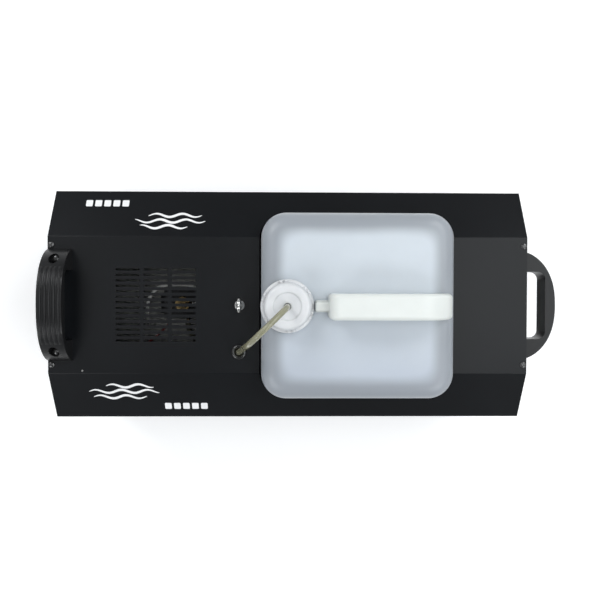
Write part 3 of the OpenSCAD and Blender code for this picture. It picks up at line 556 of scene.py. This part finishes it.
def make_cap():
    rim, barrel = 33.5, 29.6
    low = 303
    profile = [(4.45, 324.0), (4.45, 325.0), (4.6, 325.35), (5.1, 325.5), (8, 325.5), (15.0, 325.5),
               (16.2, 325.55), (16.9, 325.9), (17.3, 326.5), (17.9, 326.9), (18.6, 327.0), (24.4, 327.0)]
    profile += [(24.4 + 5.2 * math.sin(math.radians(a)), 319 + 8 * math.cos(math.radians(a)))
                for a in range(12, 91, 13)]
    profile += [(barrel, 311.5), (barrel + 0.5, 309.6), (31.4, 308.8), (32.6, 308.5), (rim - 0.3, 307.9),
                (rim, 307), (rim, 304.2), (rim - 0.8, low), (27.6, low), (27.6, 324.0)]
    body = lathe("cap_body", profile, (CAP_X, 0), steps=96)
    lugs = []
    for i in range(6):
        for side in (-1, 1):
            a = math.radians(60 * i + 39 + side * 6)
            c = (CAP_X + 30.8 * math.cos(a), 30.8 * math.sin(a))
            dome = [(0.01, 305)] + [(2.5, 305), (2.5, 312.5)]
            dome += [(2.5 * math.cos(math.radians(t)), 312.5 + 2.5 * math.sin(math.radians(t)))
                     for t in (20, 40, 60, 80)] + [(0.01, 315)]
            lugs.append(lathe("lug", dome, c, steps=20, closed=False))
    flutes = []
    for i in range(48):
        a = 360 * i / 48
        flute = prism("flute", [(-0.55, 0), (0.55, 0), (0.3, 0.75), (-0.3, 0.75)], 9.5, Matrix.Identity(4))
        flute.transform(spot(CAP_X, 0, 314, 0, 0, a) @ Matrix.Translation(Vector((29.4, 0, 0)) * MM)
                        @ Matrix.Rotation(math.radians(-90), 4, "Z"))
        flutes.append(flute)
    new_object("cap_shell", body, "cap", MATERIALS["cap_plastic"], ["bottle_cap"])
    new_object("cap_lugs", join("cap_lugs", lugs), "cap", MATERIALS["cap_plastic"])
    new_object("cap_flutes", join("cap_flutes", flutes), "cap", MATERIALS["cap_plastic"])


make_cap()


# ---------------------------------------------------------------- pump spring

PUMP_X = -163
SPRING_Z, SPRING_H = 154, 14


def make_spring():
    """The pump's return spring, built at one length; the real one shortens as the plunger is drawn down onto
    it.
    """
    turns, per_turn, sides = 5, 24, 10
    coil, wire = 4.8, 0.6
    steps = turns * per_turn
    rings = []
    for i in range(steps + 1):
        a = 2 * math.pi * i / per_turn
        z = SPRING_Z + 1 + (SPRING_H - 2) * i / steps
        ring = []
        for j in range(sides):
            b = 2 * math.pi * j / sides
            r = coil + wire * math.cos(b)
            ring.append((PUMP_X + r * math.cos(a), r * math.sin(a), z + wire * math.sin(b)))
        rings.append(ring)
    spring = new_object("return_spring", loft("return_spring", rings), "case",
                        MATERIALS["bright_steel"], ["pump_spring"])
    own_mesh(spring)


make_spring()


# ---------------------------------------------------------------- handles

HANDLE_L, HANDLE_W, HANDLE_H = 146, 31, 46
HANDLE_PITCH = 118
SEAT_Z = 14


def bow(y):
    end = min(1, abs(y) / (HANDLE_L / 2))
    return max(0, HANDLE_H * math.sqrt(max(0, 1 - end ** 2.5)) - 5 * end ** 2)


def handle_mesh(name):
    """A bow handle along Y on z = 0, ribbed along its back, with sunk screw seats in its ends."""
    drop = 1.5
    outer = []
    for i in range(45):
        y = HANDLE_L / 2 * math.sin(math.radians(-90 + 180 * i / 44))
        outer.append((y, max(0, bow(y) - drop)))
    gap = [(45, 0)] + arc(35, 21, 10, 0, 90, 6) + arc(-35, 21, 10, 90, 180, 6) + [(-45, 0)]
    body = prism(name, outer + gap, HANDLE_W, Matrix.Identity(4), bevel=4, segments=4, angle=35)
    turn = Matrix(((0, 0, 1, 0), (1, 0, 0, 0), (0, 1, 0, 0), (0, 0, 0, 1)))
    body.transform(turn)
    seats = []
    for s in (-1, 1):
        seat = [(0.01, SEAT_Z), (5.6, SEAT_Z), (6.5, SEAT_Z + 1), (6.5, 60), (0.01, 60)]
        seats.append(lathe("seat", seat, (0, s * HANDLE_PITCH / 2), steps=40, closed=False))
    for seat in seats:
        body = carve(body, seat)
    ribs = []
    for k in range(5):
        x = (k - 2) * 5.6
        rings = []
        for i in range(41):
            y = -49 + 98 * i / 40
            fade = min(1, (49 - abs(y)) / 7)
            high = 1.45 * math.sqrt(max(0, 1 - (1 - fade) ** 2))
            z = bow(y) - drop
            ring = [(x - 2.0, y, z - 1.5)]
            for t in range(0, 181, 20):
                ring.append((x - 2.0 * math.cos(math.radians(t)),
                             y, z - 0.05 + high * math.sin(math.radians(t))))
            ring.append((x + 2.0, y, z - 1.5))
            rings.append(ring)
        ribs.append(loft("rib", rings))
    return join(name, [body] + ribs)


def make_handles():
    handle = handle_mesh("front_bow")
    rear = moved(handle, spot(REAR_X, 0, 231, 0, 90, 0))
    rear.name = "rear_bow"
    handle.transform(spot(FRONT_HANDLE_X, 0, TOP_Z))
    for name, mesh, node in (("front_bow", handle, "front_handle"), ("rear_bow", rear, "rear_handle")):
        new_object(name, mesh, "case", MATERIALS["handle_plastic"], [node])


make_handles()


# ---------------------------------------------------------------- screws

def screw_mesh(head_r, head_h, shank_r, shank_l):
    """Domed cross-head screw, its head's underside on z = 0."""
    dome = [(0.01, -shank_l), (shank_r * 0.7, -shank_l), (shank_r, -shank_l + 0.8), (shank_r, 0),
            (head_r, 0), (head_r, head_h * 0.3)]
    dome += [(head_r * math.cos(math.radians(a)), head_h * (0.3 + 0.7 * math.sin(math.radians(a))))
             for a in range(15, 90, 15)]
    dome.append((0.01, head_h))
    mesh = lathe("screw", dome, steps=28, closed=False)
    arm, thin = head_r * 0.5, head_r * 0.1
    cross = [(-arm, -thin), (-thin, -thin), (-thin, -arm), (thin, -arm), (thin, -thin), (arm, -thin),
             (arm, thin), (thin, thin), (thin, arm), (-thin, arm), (-thin, thin), (-arm, thin)]
    cutter = prism("cross", cross, head_h, Matrix.Translation((0, 0, head_h * 1.0 * MM)))
    return carve(mesh, cutter)


def scatter_screws(name, node, slot, size, places):
    base = screw_mesh(*size)
    parts = [moved(base, spot(*p)) for p in places]
    bpy.data.meshes.remove(base)
    return new_object(name, join(name, parts), "case", MATERIALS[slot], [node] if node else ())


def make_screws():
    places = [(CASE_X + x * 307.5, y * 77.7, TOP_Z, 0, 0, 30 * x + 20 * y) for x in (-1, 1) for y in (-1, 1)]
    places += [(CASE_X + x * 255, y * CASE_W / 2, 30, -90 * y, 0, 0) for x in (-1, 0, 1) for y in (-1, 1)]
    scatter_screws("case_screws", "cover_screws", "black_screws", (4, 2, 1.7, 7), places)
    places = [(FRONT_HANDLE_X, y * 59, TOP_Z + SEAT_Z, 0, 0, 25) for y in (-1, 1)]
    places += [(REAR_X + SEAT_Z, y * 59, 231, 0, 90, 0) for y in (-1, 1)]
    scatter_screws("bow_screws", "handle_screws", "black_screws", (4.8, 3, 2.5, 23), places)
    places = [(REAR_X + 2.5, y + s * 9.8, 66 + s * 12, 0, 90, 0) for y in (-50, -105) for s in (-1, 1)]
    places += [(REAR_X + 2.5, 100 + s * 24, 66, 0, 90, 0) for s in (-1, 1)]
    scatter_screws("panel_screws", "socket_screws", "zinc", (2.8, 1.5, 1.4, 8), places)


make_screws()


# ---------------------------------------------------------------- eye and grommet

def make_eye():
    wire, ring_r, centre_z = 2.5, 8.5, TOP_Z + 4 + 8.5 + 1
    rings = []
    for i in range(56):
        a = 2 * math.pi * i / 56
        ring = []
        for j in range(20):
            b = 2 * math.pi * j / 20
            r = ring_r + wire * math.cos(b)
            ring.append((EYE_X + wire * math.sin(b), r * math.sin(a), centre_z + r * math.cos(a)))
        rings.append(ring)
    loop = loft("eye_loop", rings, closed=True)
    collar = lathe("eye_collar",
                   [(0.01, TOP_Z - 14), (3, TOP_Z - 14), (3, TOP_Z), (6.4, TOP_Z), (7, TOP_Z + 0.6),
                                  (7, TOP_Z + 2.6), (6.2, TOP_Z + 3.8), (4.2, TOP_Z + 4.6), (3.4, TOP_Z + 6),
                                  (0.01, TOP_Z + 6)], (EYE_X, 0), steps=40, closed=False)
    new_object("eye_ring", carve(loop, collar, "UNION"), "case", MATERIALS["bright_steel"],
               ["safety_eye"])


def make_grommet():
    t = TOP_Z
    profile = [(4.3, t - 5.5), (9.2, t - 5.5), (9.2, t - 1.6), (6.8, t - 1.6), (6.8, t), (9.6, t),
               (10, t + 0.4),
               (10, t + 1.4), (9.4, t + 2.5), (8.4, t + 3.3), (7.3, t + 3.6), (6.2, t + 3.4), (5.2, t + 2.8),
               (4.4, t + 1.6)]
    new_object("hose_bush", lathe("hose_bush", profile, GROMMET, steps=56), "case",
               finish_material("wet_rubber", (0.008, 0.008, 0.008), 0.22, vary=0.2, scale=90, grain=900,
                               bump=0.08, coat=0.6), ["hose_grommet"])


make_eye()
make_grommet()


# ---------------------------------------------------------------- printed marks

def slope_place(x, along, side):
    """Matrix on a slope: u along the case, v up the slope as its reader sees it."""
    drop_y = (CASE_W - TOP_W) / 2
    run = math.hypot(drop_y, SLOPE_DROP)
    down = Vector((0, side * drop_y, -SLOPE_DROP)) / run
    u = Vector((1, 0, 0)) * -side
    v = -down
    w = u.cross(v)
    start = Vector((x, side * TOP_W / 2, TOP_Z)) + down * along
    matrix = Matrix((u, v, w)).transposed().to_4x4()
    matrix.translation = (start + w * 0.12) * MM
    return matrix


def ribbon(points, widths):
    """Closed outline round a line with a width at each point."""
    left, right = [], []
    for i, p in enumerate(points):
        a, b = points[max(i - 1, 0)], points[min(i + 1, len(points) - 1)]
        d = Vector((b[0] - a[0], b[1] - a[1])).normalized()
        n = Vector((-d.y, d.x)) * widths[i] / 2
        left.append((p[0] + n.x, p[1] + n.y))
        right.append((p[0] - n.x, p[1] - n.y))
    return left + right[::-1]


def mark_meshes(side):
    """Three drifting wave strokes and a row of five bars: plain shapes that say nothing."""
    parts = []
    logo_x, logo_along = (-233, 29) if side < 0 else (-172, 24)
    place = slope_place(logo_x, logo_along, side)
    for row, (length, shift) in enumerate(((62, 8), (92, 0), (70, -6))):
        pts, widths = [], []
        for i in range(41):
            t = i / 40
            wave = 2.6 * math.sin(2 * math.pi * t * length / 34)
            pts.append((shift + (t - 0.5) * length, 9 - 9 * row + wave))
            widths.append(0.6 + 3.0 * math.sin(math.pi * t) ** 0.6)
        parts.append(prism("stroke", ribbon(pts, widths), 0.2, place))
    bar_x, bar_along = (-153, 53.5) if side < 0 else (-257, 52)
    place = slope_place(bar_x, bar_along, side)
    for i in range(5):
        c = -24 + 12 * i
        bar = arc(c + 3, 3.6, 1.4, 0, 90, 4) + arc(c - 3, 3.6, 1.4, 90, 180, 4)
        bar += arc(c - 3, -3.6, 1.4, 180, 270, 4) + arc(c + 3, -3.6, 1.4, 270, 360, 4)
        parts.append(prism("bar", bar, 0.2, place))
    return parts


def make_marks():
    for side, name in ((-1, "print_low"), (1, "print_high")):
        new_object(name, join(name, mark_meshes(side)), "case", PRINT)
    rivet = lathe("rivet", [(0.01, TOP_Z), (1.4, TOP_Z), (1.3, TOP_Z + 0.5), (0.8, TOP_Z + 0.9),
                            (0.01, TOP_Z + 1)], (-283.9, -85.6), steps=20, closed=False)
    new_object("top_rivet", rivet, "case", MATERIALS["zinc"])


make_marks()


# ---------------------------------------------------------------- folded cover

SHEET = 1.5
FOLD_R = 2.2


def folded(points, r, steps=5):
    """Polyline whose inner corners are rounded to radius r, as a brake folds sheet metal."""
    out = [Vector(points[0])]
    for a, b, c in zip(points, points[1:], points[2:]):
        a, b, c = Vector(a), Vector(b), Vector(c)
        back, ahead = (a - b).normalized(), (c - b).normalized()
        half = back.angle(ahead) / 2
        reach = r / math.tan(half)
        centre = b + (back + ahead).normalized() * (r / math.sin(half))
        start, end = b + back * reach - centre, b + ahead * reach - centre
        turn = start.angle_signed(end)
        for i in range(steps + 1):
            w = -turn * i / steps
            out.append(centre + Vector((start.x * math.cos(w) - start.y * math.sin(w),
                                        start.x * math.sin(w) + start.y * math.cos(w))))
    return out + [Vector(points[-1])]


def make_cover():
    half_w, half_top, side_z = CASE_W / 2, TOP_W / 2, TOP_Z - SLOPE_DROP
    lip = SHEET
    outer = folded([(-half_w, 15), (-half_w, side_z), (-half_top, TOP_Z), (half_top, TOP_Z),
                    (half_w, side_z), (half_w, 15)], FOLD_R)
    inner = folded([(-half_w + lip, 15), (-half_w + lip, side_z - lip * 0.6),
                    (-half_top + lip * 0.3, TOP_Z - lip), (half_top - lip * 0.3, TOP_Z - lip),
                    (half_w - lip, side_z - lip * 0.6), (half_w - lip, 15)], FOLD_R - lip)
    ring = [(p.x, p.y) for p in outer + inner[::-1]]
    turn = Matrix(((0, 0, 1, CASE_X * MM), (1, 0, 0, 0), (0, 1, 0, 0), (0, 0, 0, 1)))
    mesh = prism("case_cover", ring, 624, turn)
    cutters = []
    for c in range(3):
        for r in range(14):
            x, y = -189 + (c - 1) * 36.2, (r - 6.5) * 7.1
            cutters.append(rect_cut(x, y, 31, 3, 0.8, 3))
    cutters.append(rect_cut(BOTTLE_X, 0, OPENING_L, OPENING_W, OPENING_R, 30, low=150))
    cutters.append(rect_cut(*GROMMET, 14, 14, 6.99, 20))
    cutters.append(rect_cut(EYE_X, 0, 6.4, 6.4, 3.19, 12))
    cutter = join("cutters", cutters)
    mesh = carve(mesh, cutter)
    tidy(mesh, smooth_angle=25, flat_area=60)
    new_object("case_cover", mesh, "case", MATERIALS["case_paint"], ["cover"])


def rect_cut(x, y, l, w, r, steps, low=255):
    high = TOP_Z + 15
    return loft("cut", [rect_ring(x, y, l / 2, w / 2, r, z, steps) for z in (low, high)])


make_cover()


# ---------------------------------------------------------------- carried-over CAD nodes

SOFTENED = {
    "rubber_feet": 1.2, "nozzle": 0.6, "nozzle_plate": 0.4, "display_housing": 0.8, "display_window": 0.3,
    "power_switch_frame": 0.5, "power_rocker": 0.5, "mains_inlet": 0.6, "fuse_holder": 0.4, "fuse_cap": 0.5,
    "dmx_in": 0.4, "dmx_out": 0.4, "dmx_latch": 0.5, "menu_button_1": 0.7, "menu_button_2": 0.7,
    "menu_button_3": 0.7, "menu_button_4": 0.7, "transformer": 0.5, "pump_yoke": 0.5, "relays": 0.4,
}


def dress_cad_nodes():
    slots = {row["node"]: row["material_slot"] for row in frame["record"]["subparts"]}
    for name, obj in NODES.items():
        if obj.hide_render:
            continue
        mat = MATERIALS[slots[name]]
        if not obj.material_slots:
            obj.data.materials.append(mat)
        for s in obj.material_slots:
            s.material = mat
        weld = obj.modifiers.new("weld", "WELD")
        weld.merge_threshold = 1e-5
        width = SOFTENED.get(name)
        if width:
            bevel = obj.modifiers.new("edges", "BEVEL")
            bevel.width = width * MM
            bevel.segments = 2
            bevel.limit_method = "ANGLE"
            bevel.angle_limit = math.radians(25)
            bevel.use_clamp_overlap = True
            even = obj.modifiers.new("even", "WEIGHTED_NORMAL")
            even.weight = 60


dress_cad_nodes()


# ---------------------------------------------------------------- studio

def make_world():
    world = bpy.data.worlds.new("studio")
    bpy.context.scene.world = world
    world.use_nodes = True
    tree = world.node_tree
    back = tree.nodes["Background"]
    where = tree.nodes.new("ShaderNodeTexCoord")
    split = tree.nodes.new("ShaderNodeSeparateXYZ")
    ramp = tree.nodes.new("ShaderNodeValToRGB")
    ramp.color_ramp.elements[0].position = 0.0
    ramp.color_ramp.elements[0].color = (0.85, 0.87, 0.90, 1)
    ramp.color_ramp.elements[1].position = 0.58
    ramp.color_ramp.elements[1].color = (0.05, 0.055, 0.06, 1)
    tree.links.new(where.outputs["Generated"], split.inputs["Vector"])
    tree.links.new(split.outputs["Z"], ramp.inputs["Fac"])
    tree.links.new(ramp.outputs["Color"], back.inputs["Color"])
    back.inputs["Strength"].default_value = 1.0


def make_light(name, place, target, size, power, colour=(1, 1, 1)):
    data = bpy.data.lights.new(name, "AREA")
    data.shape = "RECTANGLE"
    data.size, data.size_y = size
    data.energy = power
    data.color = colour
    light = bpy.data.objects.new(name, data)
    bpy.context.scene.collection.objects.link(light)
    light.location = place
    aim = Vector(target) - Vector(place)
    light.rotation_euler = aim.to_track_quat("-Z", "Y").to_euler()


def make_floor():
    size = 8
    mesh = bpy.data.meshes.new("floor")
    corners = [(-size, -size, 0), (size, -size, 0), (size, size, 0), (-size, size, 0)]
    mesh.from_pydata(corners, [], [(0, 1, 2, 3)])
    mat = finish_material("pale_floor", (0.90, 0.90, 0.90), 0.9, vary=0.01, scale=2, grain=40, bump=0.02)
    mat.node_tree.nodes["Principled BSDF"].inputs["Emission Color"].default_value = (1, 1, 1, 1)
    mat.node_tree.nodes["Principled BSDF"].inputs["Emission Strength"].default_value = 0.3
    mesh.materials.append(mat)
    floor = bpy.data.objects.new("floor", mesh)
    bpy.context.scene.collection.objects.link(floor)
    floor.location = (0, 0, -0.0003)


make_world()
make_floor()
make_light("sky_right", (0.95, 0.1, 2.1), (0.15, 0, 0.2), (1.1, 2.0), 20, (0.95, 0.98, 1))
make_light("sky_left", (-1.15, 0.1, 1.9), (-0.2, 0, 0.2), (0.8, 1.6), 4, (0.98, 0.99, 1))
KEY_REACH, KEY_Z = 1.25, 1.75
for side_x in (-1, 1):
    for side_y in (-1, 1):
        name = "key_%s_%s" % ("right" if side_x > 0 else "left", "far" if side_y > 0 else "near")
        power = 17 if side_y > 0 else 14
        make_light(name, (KEY_REACH * side_x, KEY_REACH * side_y, KEY_Z), (0, 0, 0.2), (0.9, 0.9),
                   power, (0.97, 0.985, 1))

bpy.context.scene.view_settings.view_transform = "Standard"
bpy.context.scene.view_settings.look = "None"
